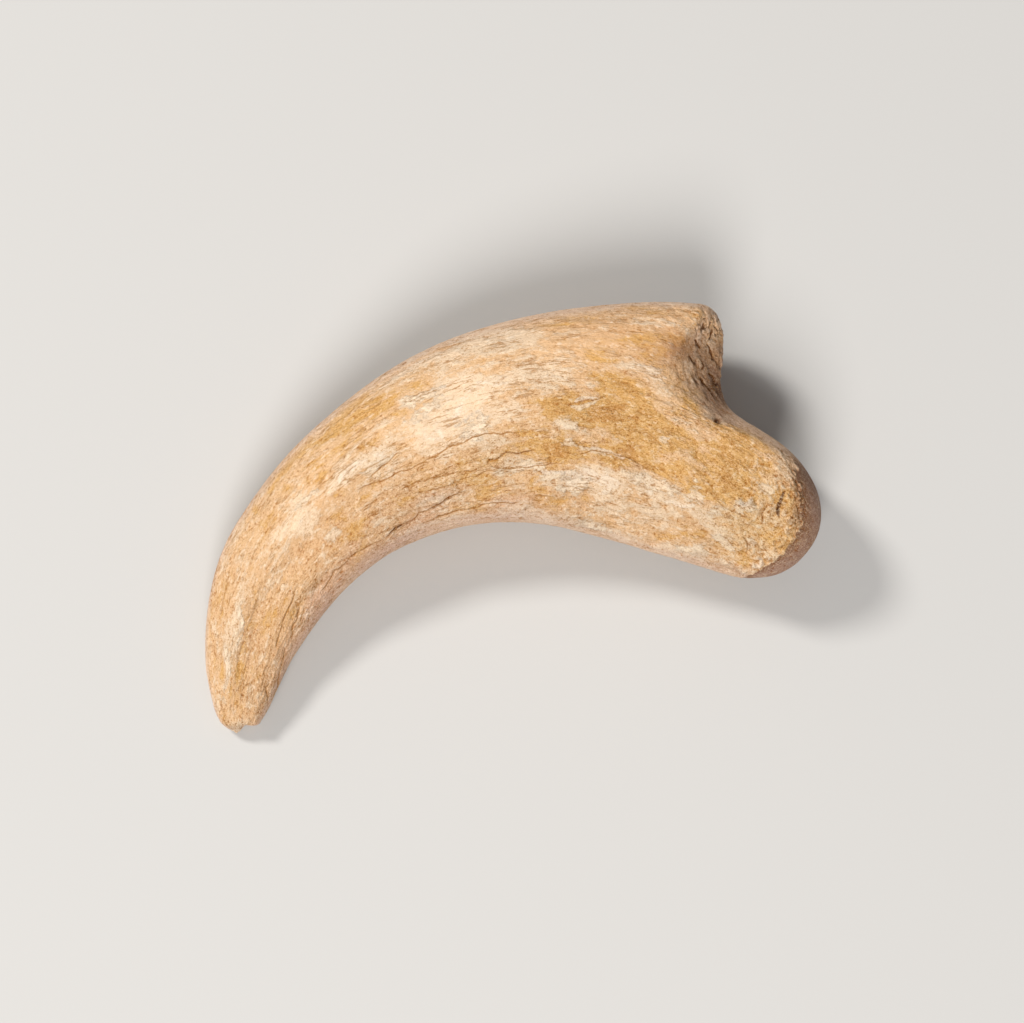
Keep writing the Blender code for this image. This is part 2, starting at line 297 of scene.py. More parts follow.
bonePiece = {  # heights, widths and places in millimetres
    "node": "claw",
    "name": "clawBone",
    "joinWithin": 0.01,
    "quadAngle": 60,  # degrees
    "smoothings": 2,
    "cuts": 1,
    "fanWidth": 20,
    "calmShare": 0.5,
    "furrows": 0.2,
    "furrowValley": 0.7,
    "furrowSwell": 0.6,
    "furrowWidth": 0.09,
    "furrowsLostAtJoint": 0.4,
    "fibres": 0.12,
    "layers": 0.13,
    "layerCount": 3.4,
    "layersEverywhere": 0.45,
    "layersAtJoint": 0.55,
    "crust": 0.15,
    "crustEverywhere": 0.6,
    "crustAtJoint": 0.4,
    "crustAtHeel": 0.9,
    "crustLostAtCap": 0.85,
    "pebbles": 0.8,
    "pebbleSize": 1.9,
    "pebbleSeed": 5.0,
    "pebbleSink": 0.6,
    "socket": 0.6,
    "lumpRise": 0.9,
    "gapDepth": 0.8,
    "gapWidth": 0.07,
    "threadSlant": 0.7,
    "threadRise": 1.1,
    "threadSink": 0.2,
    "capStart": 69.2,
    "capBendBelow": 0.06,
    "capBendAbove": 0.012,
    "capLedge": 0.45,
    "outlineShare": 0.3,
    "socketOutline": 0.7,
    "crackWidth": 0.32,
    "crackEnds": 0.15,
    "crackSink": 0.5,
    "ledgeRise": 0.35,
    "ledgeReach": 2.0,
    "holeDark": (1.4, 0.8),  # in radii
    "flakeWidth": 0.5,
    "flakeEnds": 0.2,
    "flakeFade": 2.0,
    "farAway": 9.0,
    "floorGap": 0.02,
    "raisedOver": 14,  # rounds of averaging
    "mostTriangles": 194000,
}


def chosen(piece):  # the piece alone is selected and active
    bpy.ops.object.select_all(action="DESELECT")
    piece.select_set(True)
    bpy.context.view_layer.objects.active = piece


def mergedCopy(node, name):  # one closed quad mesh from the CAD node's loose triangles
    chosen(frame["nodes"][node])
    bpy.ops.object.duplicate()
    copy = bpy.context.active_object
    bpy.ops.object.parent_clear(type="CLEAR_KEEP_TRANSFORM")
    for key in list(copy.keys()):
        if key.startswith("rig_"):
            del copy[key]
    copy.name = name
    copy.data.name = name
    angle = math.radians(bonePiece["quadAngle"])
    bpy.ops.object.mode_set(mode="EDIT")
    bpy.ops.mesh.select_all(action="SELECT")
    bpy.ops.mesh.remove_doubles(threshold=bonePiece["joinWithin"] * mm)
    bpy.ops.mesh.tris_convert_to_quads(face_threshold=angle, shape_threshold=angle)
    bpy.ops.object.mode_set(mode="OBJECT")
    return copy


def refined(piece):  # rounded, then cut finer for the relief
    modifier = piece.modifiers.new("Rounding", "SUBSURF")
    modifier.levels = bonePiece["smoothings"]
    modifier.render_levels = bonePiece["smoothings"]
    chosen(piece)
    bpy.ops.object.modifier_apply(modifier=modifier.name)
    bpy.ops.object.mode_set(mode="EDIT")
    bpy.ops.mesh.select_all(action="SELECT")
    bpy.ops.mesh.subdivide(number_cuts=bonePiece["cuts"], smoothness=0.0)
    bpy.ops.object.mode_set(mode="OBJECT")


def thinnedOut(piece):  # fewer triangles where the relief is even
    modifier = piece.modifiers.new("Thinning", "DECIMATE")
    modifier.ratio = bonePiece["mostTriangles"] / triangleCount(piece)
    chosen(piece)
    bpy.ops.object.modifier_apply(modifier=modifier.name)


def triangleCount(piece):
    return len(piece.data.loops) - 2 * len(piece.data.polygons)


def readVectors(mesh, name):
    values = np.zeros(len(mesh.vertices) * 3, np.float32)
    source = mesh.vertex_normals if name == "normal" else mesh.attributes[name].data
    source.foreach_get("vector", values)
    return values.reshape(-1, 3).astype(float)


def saveValues(mesh, name, values):
    kind, field = ("FLOAT", "value") if values.ndim == 1 else ("FLOAT_VECTOR", "vector")
    layer = mesh.attributes.new(name, kind, "POINT")
    layer.data.foreach_set(field, values.astype(np.float32).ravel())


def averaged(mesh, values, rounds):  # each point takes the mean of its neighbours, again and again
    ends = np.zeros(len(mesh.edges) * 2, np.int32)
    mesh.edges.foreach_get("vertices", ends)
    ends = ends.reshape(-1, 2)
    first, second = np.concatenate([ends, ends[:, ::-1]]).T
    count = np.bincount(first, minlength=len(values))
    for _ in range(rounds):
        values = (values + np.bincount(first, values[second], len(values)) / count) / 2
    return values


def crackRelief(flat, upper):  # height change, signed distance to the nearest crack, and its strength
    look = bonePiece
    height = np.zeros(len(flat))
    nearest = np.full(len(flat), look["farAway"])
    strength = np.zeros(len(flat))
    for depth, drop, line in cracks.values():
        distance, reached, side = lineDistance(flat, line)
        fade = fadedEnds(reached, look["crackEnds"]) * upper
        height -= look["crackSink"] * depth * bell(distance, look["crackWidth"]) * fade
        height += look["ledgeRise"] * drop * side * np.exp(-distance / look["ledgeReach"]) * fade
        closer = distance < np.abs(nearest)
        nearest[closer] = (distance * side)[closer]
        strength[closer] = (depth * fade * smoothStep(distance, *regions["crackReach"]))[closer]
    return height, nearest, strength


def holeRelief(flat, upper):  # height change, and how dark the hole is
    height = np.zeros(len(flat))
    darkness = np.zeros(len(flat))
    for depth, radius, middle in holes.values():
        distance = np.linalg.norm(flat - middle, axis=1)
        height -= depth * bell(distance, radius, 4) * upper
        # the painted shade inside the hole: darker where the hole is deeper
        dark = smoothStep(distance / radius, *bonePiece["holeDark"]) * min(depth, 1.0) * upper
        darkness = np.maximum(darkness, dark)
    return height, darkness


def flakeRelief(flat, upper):  # height change, and distance to the nearest flake
    look = bonePiece
    height = np.zeros(len(flat))
    nearest = np.full(len(flat), look["farAway"])
    for rise, line in flakes.values():
        distance, reached, _ = lineDistance(flat, line)
        fade = fadedEnds(reached, look["flakeEnds"]) * upper
        height += rise * bell(distance, look["flakeWidth"]) * fade
        nearest = np.minimum(nearest, distance + look["flakeFade"] * (1 - fade))
    return height, nearest


# soft patches over the upper side: x, y, half length, half width, slant in degrees, strength
stains = {
    "cream": [
        (-15, 27, 16, 9, 35, 1.0), (-3, 42, 8, 5, 20, 0.8), (-54, 3, 12, 5, 55, 0.7),
        (20, 8, 14, 4, -4, 0.8), (24, 3, 9, 4, -8, 0.7), (41, 3, 9, 3.5, -12, 0.8),
        (50, -3, 8, 4, -10, 0.7), (-67.5, -27, 9, 1.6, 80, 0.9), (-69.8, -38, 8, 1.4, 88, 1.0),
        (5, 35, 9, 6, 25, 0.7), (-40, 10.5, 13, 2.8, 28, 0.9), (62, 2, 3, 4, 60, 0.6),
        (36, -9, 9, 3, -14, 0.8), (57, 4, 4, 2.5, 10, 0.6), (-72, -33, 5, 1.2, 92, 0.7),
        (10, 0, 9, 3, -5, 0.5), (-66.5, -51.4, 3, 1.6, 10, 1.0), (36, 32, 5, 2.5, -25, 0.5),
        (22, -4, 12, 3, -8, 0.6), (44, -9, 9, 3, -12, 0.6),
    ],
    "ochre": [
        (25, 25, 10, 6, 0, 1.0), (32, 18, 11, 5, -12, 1.1), (40, 12, 10, 5, -20, 0.9),
        (52, 10, 8, 7, -25, 0.9), (64, 1, 6, 8, 90, 0.5), (-42, 22, 12, 3, 48, 0.65),
        (-55, 9, 12, 2.5, 56, 0.6), (-31, 28, 9, 2.5, 40, 0.5), (-8, 9, 6, 2.2, 12, 0.8),
        (12, 28, 7, 3, 5, 0.7), (30, 42, 11, 4, 0, 0.5), (48, -6, 8, 3, -12, 0.4),
        (12, 17, 8, 1.8, 5, 0.8), (66, -4, 4, 3, 70, 0.55), (20, 33, 7, 3, 0, 0.6),
        (-70, -45.5, 4.5, 1.0, 75, 0.9), (-66.5, -31, 6, 1.4, 80, 0.8), (-49, 11, 5, 3, 50, 0.9),
        (-38, 17, 5, 2.5, 42, 0.6), (8, 39, 5, 3.5, 20, 0.7), (-2, 15, 6, 1.5, 12, 0.7),
        (22, 21, 5, 2, -5, 0.7), (-24, 31, 8, 2, 33, 0.4), (-71.6, -38, 3, 0.9, 90, 0.8),
        (8, 5, 6, 2, 0, 0.4),
    ],
    # brown patches: those by the socket are painted shade on the slope that turns away beside it, those at
    # the cap and the tip are the bone's own brown
    "brownAndShade": [
        (47.5, 36, 3, 7, 14, 0.7), (50, 33, 3.5, 8, 10, 0.9), (41, 40.5, 5.5, 3.4, -20, 0.85),
        (37, 39, 6, 4, -20, 0.45), (43, 33, 4, 3, -45, 0.3), (70.4, 3, 2.2, 8, 6, 1.0),
        (69, -5, 2.4, 2.5, 45, 0.6), (-65, -30, 5, 0.8, 80, 0.3),
    ],
    # painted shade: dim purplish bands along the belly edges and the tip's edge
    "purpleEdgeShade": [
        (-47, -22, 16, 2.4, 57, 0.8), (-30, -7, 14, 2.4, 38, 0.8), (-57, -40, 12, 1.8, 70, 0.7),
        (-8, 0, 14, 2.0, 8, 0.45), (-1, 3, 6, 2, 8, 0.5), (-18, 6, 7, 1.6, 26, 0.5),
        (52, -13, 12, 1.5, -12, 0.3),
    ],
    "dull": [
        (-60, -30, 10, 16, 10, 0.6), (-44, -8, 12, 12, 50, 0.7), (-28, 2, 12, 7, 35, 0.7),
        (-12, 13, 14, 4, 25, 0.4), (22, 36, 10, 8, 0, 0.3), (30, 45, 15, 5, -2, 0.8),
        (8, 3, 14, 4, -2, 0.4), (-58, -44, 7, 9, 0, 0.9),
    ],
    "chalk": [
        (34.1, 7.5, 6, 1.8, -8, 0.9), (44.2, 5.9, 3, 2.4, 0, 0.9), (56, 3.4, 2.6, 2.0, 30, 0.9),
        (49.5, 2.6, 3, 1.6, 0, 0.6), (21, 16.4, 6, 0.7, -8, 0.9), (36.5, 19.2, 1.6, 0.5, -20, 1.0),
        (17.5, 27.7, 5, 0.8, 10, 0.9), (19.1, 31.8, 0.9, 0.5, 0, 0.9), (13.1, 22.9, 3.5, 1.4, 10, 0.9),
        (4.1, 12.7, 6, 0.9, 8, 0.8), (13, 18, 2, 1, 0, 0.8), (9.8, 11.5, 5, 1.4, 4, 0.8),
        (14.7, 7.5, 5, 2, -5, 0.7), (19.5, -1.4, 6, 1.4, -10, 0.7), (34, 35.8, 3.4, 1.2, -20, 0.9),
        (51, -5.5, 4, 1.4, -20, 0.9), (44, -7.5, 5, 1.4, -16, 0.7), (58, -6, 2.4, 1.2, -60, 0.8),
        (61.5, 6.5, 2.5, 1.6, -30, 0.8), (-43.8, -4.7, 3, 2, 50, 0.7), (-22, 27, 7, 4, 34, 0.7),
        (-10, 22, 5, 2.6, 20, 0.7), (-70, -37, 7, 0.8, 88, 0.9), (-66.5, -25, 5, 0.9, 78, 0.8),
        (-66.8, -51.6, 2.4, 0.9, 5, 1.0), (-34, 12, 8, 1.0, 28, 0.7), (-50, 4, 6, 1.4, 50, 0.6),
    ],
    "shadow": [
        (49, 32.5, 2.4, 6, 16, 0.8), (47.2, 39.5, 1.6, 3.5, 8, 0.5), (50.2, 40.5, 1.4, 3, 0, 0.5),
    ],
    "calm": [  # few grains and furrows
        (18, 43, 24, 7, -2, 1.0), (-15, 27, 16, 9, 35, 1.0), (-50, 2, 15, 5, 56, 0.7),
        (34, 36, 12, 6, -15, 0.6),
    ],
    "rough": [  # many grains
        (60, 0, 12, 13, 0, 1.0), (-12, 11, 20, 5, 25, 0.6), (-60, -45, 8, 10, 0, 0.3),
        (30, 22, 16, 8, -10, 0.3),
    ],
    "lined": [  # dark threads along the grain
        (-24, 8, 20, 6, 30, 1.0), (-48, -18, 14, 7, 58, 0.8), (6, 9, 18, 6, 2, 0.8),
        (-58, -40, 12, 6, 72, 0.8),
    ],
}
stainLook = {
    "softness": 0.7,
    "lowerShift": (5.0, -2.0),  # the lower side has its own version of the same pattern
}


def patchShare(flat, patches):
    total = np.zeros(len(flat))
    for x, y, halfLength, halfWidth, slant, strength in patches:
        turned = np.radians(slant)
        away = flat - (x, y)
        lengthwise = away @ (np.cos(turned), np.sin(turned))
        crosswise = away @ (-np.sin(turned), np.cos(turned))
        reach = (lengthwise / halfLength) ** 2 + (crosswise / halfWidth) ** 2
        total = np.maximum(total, strength * np.exp(-stainLook["softness"] * reach))
    return total


def carve(piece):
    mesh = piece.data
    look = bonePiece
    bone = toBone(readVectors(mesh, "position"))
    x, y, z = bone.T
    normals = readVectors(mesh, "normal") @ np.array(turn)
    along, across, share = grainPlaces(bone)
    facing = np.abs(normals[:, 2])
    upper = smoothStep(normals[:, 2], *regions["upper"])
    straight = np.stack([along, across, z], axis=1)
    fanned = np.stack([along, share * look["fanWidth"], z], axis=1)
    seen = asSeen(bone)

    # where on the bone: socket walls, the heel's cap, heel, joint end
    socket = smoothStep(normals[:, 0] + wave("socketEdge", bone)[:, 0], *regions["socketFacing"])
    socket *= smoothStep(y, *regions["socketUp"]) * smoothStep(x, *regions["socketAlong"])
    capStart = look["capStart"] + wave("capLine", bone)[:, 0] + wave("capLineFine", bone)[:, 0]
    capStart -= look["capBendBelow"] * np.minimum(y, 0) ** 2 + look["capBendAbove"] * np.maximum(y, 0) ** 2
    cap = smoothStep(x - capStart, *regions["capEdge"])
    cap *= smoothStep(y, *regions["capUp"]) * smoothStep(x, *regions["capAlong"])
    heel = smoothStep(x, *regions["heelAlong"]) * smoothStep(y, *regions["heelUp"])
    jointEnd = smoothStep(along, *regions["jointEnd"])
    plain = 1 - np.clip(cap + socket, 0.0, 1.0)
    plain *= 1 - look["calmShare"] * patchShare(seen, stains["calm"])

    # long furrows that follow the bone, sharp at the bottom
    swell = fractal("furrows", fanned)
    furrows = look["furrowSwell"] * swell - look["furrowValley"] * bell(swell, look["furrowWidth"])
    height = look["furrows"] * furrows * plain * (1 - look["furrowsLostAtJoint"] * jointEnd)
    # short fibres along the grain
    height += look["fibres"] * fractal("fibres", straight) * plain
    # thin layers, whose broken edges make small steps
    layers = fractal("layers", straight) * look["layerCount"]
    steps = np.floor(layers) + smoothStep(layers - np.floor(layers), *regions["layerEdge"])
    height += look["layers"] * steps * (look["layersEverywhere"] + look["layersAtJoint"] * jointEnd) * plain
    # rough crust
    crust = look["crustEverywhere"] + look["crustAtJoint"] * jointEnd + look["crustAtHeel"] * heel
    height += look["crust"] * crust * fractal("crust", bone) * (1 - look["crustLostAtCap"] * cap)
    # socket walls: upright lumps with gaps between them above, slanting threads below
    foot = smoothStep(y, *regions["socketFoot"])
    lumpNoise = fractal("socketLumps", bone + wave("lumpBend", bone))
    lumps = look["lumpRise"] * lumpNoise - look["gapDepth"] * bell(lumpNoise, look["gapWidth"])
    slant = look["threadSlant"]
    threadNoise = fractal("socketThreads", np.stack([x + slant * y, y - slant * x, z], axis=1))
    threads = look["threadRise"] * threadNoise - look["threadSink"]
    height += look["socket"] * socket * (lumps * (1 - foot) + threads * foot)
    # pebbles in the crust of the heel
    pebblePlaces = bone / look["pebbleSize"] + wave("pebbleBend", bone)
    nearest, following = cells(pebblePlaces, look["pebbleSeed"])
    pebbles = smoothStep(following - nearest, *regions["pebbles"]) - look["pebbleSink"]
    pebbles *= smoothStep(wave("pebblePatches", bone)[:, 0], *regions["pebblePatches"])
    height += look["pebbles"] * heel * pebbles * (1 - cap)
    # the heel's smooth cap lies a little lower than the crust
    height -= look["capLedge"] * cap

    wander = wave("crackWander", bone) + wave("crackShake", bone)
    crackHeight, crackDistance, crackStrength = crackRelief(seen + wander, upper)
    flakeHeight, flakeDistance = flakeRelief(seen + wander, upper)
    holeHeight, holeShadeShare = holeRelief(seen, upper)
    height += crackHeight + flakeHeight + holeHeight

    # the outline stays where the bone's solid has it
    keep = look["outlineShare"] + (1 - look["outlineShare"]) * smoothStep(facing, *regions["outline"])
    height *= np.maximum(keep, look["socketOutline"] * socket)
    for rise, middle, reach in tipChips:
        height += rise * bell(np.linalg.norm((bone[:, :2] - middle) / reach, axis=1), 1.0)
    points = fromBone(bone + normals * height[:, None])
    points[:, 2] = np.maximum(points[:, 2], look["floorGap"] * mm)
    mesh.vertices.foreach_set("co", points.astype(np.float32).ravel())
    mesh.update()

    saveValues(mesh, "bonePlace", bone)
    saveValues(mesh, "grainPlace", straight)
    saveValues(mesh, "fannedPlace", fanned)
    saveValues(mesh, "crackDistance", crackDistance)
    saveValues(mesh, "crackStrength", crackStrength)
    saveValues(mesh, "flakeDistance", flakeDistance)
    saveValues(mesh, "raised", height - averaged(mesh, height, look["raisedOver"]))
    saveValues(mesh, "socketShare", socket)
    saveValues(mesh, "capShare", cap)
    saveValues(mesh, "capEdge", smoothStep(x - capStart, *regions["capBand"]) * cap)
    saveValues(mesh, "holeShadeShare", holeShadeShare)
    # painted rim light: where the surface turns away at the edges it takes a pale rose colour
    saveValues(mesh, "rimLightShare", smoothStep(facing, *regions["rim"]))
    saveValues(mesh, "distalShare", smoothStep(along, *regions["distalEnd"]))


def layStains(piece):
    mesh = piece.data
    bone = readVectors(mesh, "bonePlace")
    flat = asSeen(bone) + wave("stainWobble", bone)
    flat[bone[:, 2] < 0] += stainLook["lowerShift"]
    for tone, patches in stains.items():
        saveValues(mesh, tone + "Stain", patchShare(flat, patches))


claw = mergedCopy(bonePiece["node"], bonePiece["name"])
refined(claw)
print("bone copied and refined:", triangleCount(claw), "triangles")
carve(claw)
print("bone carved")
thinnedOut(claw)
print("bone thinned out:", triangleCount(claw), "triangles")
layStains(claw)
print("stains laid")


# shader maths

class Wire:  # one socket, with the operators that the finishes use
    def __init__(self, build, socket):
        self.build = build
        self.socket = socket

    def maths(self, operation, first, second=0.0):
        return self.build.add("ShaderNodeMath", {"operation": operation}, {0: first, 1: second})

    def __add__(self, other):
        return self.maths("ADD", self, other)

    def __sub__(self, other):
        return self.maths("SUBTRACT", self, other)

    def __mul__(self, other):
        return self.maths("MULTIPLY", self, other)

    def __radd__(self, other):
        return self.maths("ADD", other, self)

    def __rsub__(self, other):
        return self.maths("SUBTRACT", other, self)

    def __rmul__(self, other):
        return self.maths("MULTIPLY", other, self)

    def __neg__(self):
        return self.maths("MULTIPLY", self, -1.0)

    def __abs__(self):
        return self.maths("ABSOLUTE", self)

    def ramped(self, low, high):  # 0 at low, 1 at high
        return self.build.add("ShaderNodeMapRange", {"interpolation_type": "SMOOTHSTEP"},
                              {"Value": self, "From Min": low, "From Max": high})


class Finish:  # a material and its nodes
    def __init__(self, name):
        self.material = bpy.data.materials.new(name)
        self.material.use_nodes = True
        self.tree = self.material.node_tree
        self.shader = self.tree.nodes["Principled BSDF"]

    def add(self, kind, settings, sockets, output=0):
        node = self.tree.nodes.new(kind)
        for key, value in settings.items():
            setattr(node, key, value)
        for key, value in sockets.items():
            self.join(value, node.inputs[key])
        return Wire(self, node.outputs[output])

    def join(self, value, socket):
        if isinstance(value, Wire):
            self.tree.links.new(value.socket, socket)
        else:
            socket.default_value = value

    def attribute(self, name, output="Fac"):
        return self.add("ShaderNodeAttribute", {"attribute_name": name}, {}, output)

    def stretched(self, vector, scale, shift):
        return self.add("ShaderNodeMapping", {}, {"Vector": vector, "Scale": scale, "Location": shift})

    def noise(self, vector, detail, roughness, distortion):
        return self.add("ShaderNodeTexNoise", {}, {"Vector": vector, "Scale": 1.0, "Detail": detail,
                                                   "Roughness": roughness, "Distortion": distortion})

    def cells(self, vector, output):
        return self.add("ShaderNodeTexVoronoi", {}, {"Vector": vector, "Scale": 1.0}, output)

    def blend(self, share, first, second, mode="MIX"):
        return self.add("ShaderNodeMix", {"data_type": "RGBA", "blend_type": mode},
                        {0: share, 6: first, 7: second}, 2)


def srgb(red, green, blue):  # screen values 0 to 255 to a linear colour
    def linear(value):
        value /= 255
        return value / 12.92 if value <= 0.04045 else ((value + 0.055) / 1.055) ** 2.4
    return linear(red), linear(green), linear(blue), 1.0


boneFinish = {
    "tan": srgb(226, 186, 142),
    "dull": srgb(207, 162, 117),
    "cream": srgb(231, 204, 172),
    "white": srgb(241, 222, 199),
    "chalk": srgb(246, 225, 197),
    "ochre": srgb(216, 166, 95),
    "deepOchre": srgb(189, 132, 68),
    "heelOchreAndLight": srgb(250, 200, 122),
    "brownAndShade": srgb(157, 113, 84),
    "shadeBrown": srgb(92, 60, 44),
    "bandBrown": srgb(146, 102, 70),
    "purpleEdgeShade": srgb(200, 164, 148),
    "rimLightRose": srgb(234, 206, 186),
    "capRose": srgb(160, 121, 109),
    "line": srgb(174, 120, 60),
    "crack": srgb(92, 50, 26),
    "grainShade": srgb(206, 174, 132),
    "grainLight": srgb(252, 228, 190),
    "shadeStrength": 0.95,
    "lightStrength": 0.5,
    "roughness": 0.88,
    "capPolish": 0.12,
    "specular": 0.15,
    "bumpHeight": 1.0,  # millimetres
    "sandTightness": (1.5, 2.2, 2.2),  # single grains, each with its own tone
    "layerMiddle": 0.5,
    "platesLostAtTip": 0.35,
    "platesLostInCalm": 0.25,
    "streaks": 0.24,
    "streaksLostInCalm": 0.12,
    "stainedLayer": 0.2,
    "raisedLayer": 0.2,
    "dullLayer": 0.06,
    "linedPlaces": 0.4,
    "grainsLostInCalm": 0.62,
    "grainsMoreInRough": 0.75,
    "pitsLostInCalm": 0.5,
    "fleckLight": 0.08,
    "fleckDark": 0.16,
    "roughLight": 0.05,
    "flecksLostAtRim": 0.5,
    "linesLostInCap": 0.706,
    "brownShare": 0.9,
    "raisedScale": 3.0,
    "crackSwell": 0.16,
    "layerBump": 0.06,
    "chalkBump": 1.5,
    "lineBump": 0.05,
    "crackBump": 0.1,
    "sandBump": 0.12,
    "grainBump": 0.375,
}
# coats of colour over the tan bone, one over another: how strong, and its tone
coats = {
    "dull": (0.8, "dull"),
    "ochreLayer": (0.85, "ochre"),
    "deepLayer": (0.55, "deepOchre"),
    "creamLayer": (0.92, "cream"),
    "whiteLayer": (0.7, "white"),
    # a brighter ochre on the rough heel: partly its own ochre, partly painted light where the lamps leave
    # the heel dim
    "heel": (0.3, "heelOchreAndLight"),
    # painted rim light: pale rose along the edges
    "rim": (0.6, "rimLightRose"),
    # painted purplish shade along the belly edges
    "purpleEdgeShade": (0.75, "purpleEdgeShade"),
    "cap": (0.8, "capRose"),
    "capEdge": (0.85, "bandBrown"),
    "chalk": (0.6, "chalk"),
    "paleFleck": (0.3, "white"),
    "darkFleck": (0.25, "deepOchre"),
    "hollow": (0.5, "deepOchre"),
    "ridge": (0.25, "white"),
    # brown: painted shade beside the socket, and the bone's own brown at the cap and the tip
    "brownAndShade": (1.0, "brownAndShade"),
    "socketRidge": (0.6, "tan"),
    "shadow": (0.7, "shadeBrown"),
    # painted shade in the socket's hollows, deeper hollows darker
    "socketHollowShade": (0.85, "shadeBrown"),
    "pits": (0.6, "line"),
    "threads": (0.7, "line"),
    "flake": (0.7, "white"),
    "crackLine": (0.85, "line"),
    "deepCrack": (0.8, "crack"),
    # painted shade in the holes
    "hole": (0.95, "crack"),
}
# where a coat begins and where it is full; a grain's middle is 0
ramps = {
    "ochreLayer": (0.5, 0.39),
    "deepLayer": (0.35, 0.24),
    "creamLayer": (0.51, 0.62),
    "whiteLayer": (0.67, 0.76),
    "heel": (0.4, 0.9),
    "chalk": (0.46, 0.66),
    "paleFleck": (0.08, 0.16),
    "darkFleck": (-0.07, -0.16),
    "uneven": (0.1, 1.2),
    "socketRidge": (0.0, 1.0),
    "socketHollowShade": (0.0, 0.9),
    "pits": (0.45, 0.49),
    "longLine": (0.024, 0.004),
    "longLinePlaces": (-0.04, 0.06),
    "hairLine": (0.03, 0.005),
    "hairLinePlaces": (0.0, -0.1),
    "flake": (0.55, 0.3),
    "crackLine": (0.2, 0.02),
    "crackBroken": (-0.28, -0.06),
    "crackShows": (0.02, 0.3),
    "deepCrack": (0.45, 0.8),
    "shade": (-0.06, 0.42),
    "light": (-0.02, 0.45),
}
# grain of the finish: where it is laid, how tight along, across and through, its shift,
# detail, roughness and distortion
grains = {
    "plates": ("grainPlace", (0.09, 0.18, 0.18), (0, 0, 0), 8.0, 0.62, 0.5),
    "chips": ("grainPlace", (0.5, 0.9, 0.9), (5, 2, 8), 6.0, 0.72, 0.0),
    "streaks": ("fannedPlace", (0.04, 0.55, 0.55), (3, 1, 7), 6.0, 0.65, 0.0),
    "threads": ("grainPlace", (0.05, 0.42, 0.42), (1, 7, 3), 5.0, 0.6, 0.0),
    "hairs": ("grainPlace", (0.08, 0.8, 0.8), (7, 2, 9), 4.0, 0.6, 0.0),
    "dirt": ("grainPlace", (0.12, 0.2, 0.2), (8, 6, 1), 5.0, 0.7, 0.0),
    "grit": ("grainPlace", (1.6, 2.4, 2.4), (0, 0, 0), 4.0, 0.8, 0.0),
    "dust": ("grainPlace", (3.2, 4.2, 4.2), (6, 3, 5), 2.0, 0.8, 0.0),
}
# how much of each grain is in a mix
mixes = {
    "layer": {"chips": 0.3},
    "chalk": {"chips": 1.6, "plates": 1.2},
    "paleFleck": {"chips": 0.7, "sand": 0.3},
    "darkFleck": {"grit": 0.5, "chips": 0.2, "sand": 0.3},
    "tone": {"grit": 0.8, "dust": 1.3, "chips": 0.5, "sand": 0.12},
    "crack": {"grit": 0.24},
    "flake": {"chips": 2.6},
    "brownAndShade": {"chips": 0.5},
    "roughness": {"chips": 0.2},
    "bump": {"chips": 0.4, "grit": 0.35},
}


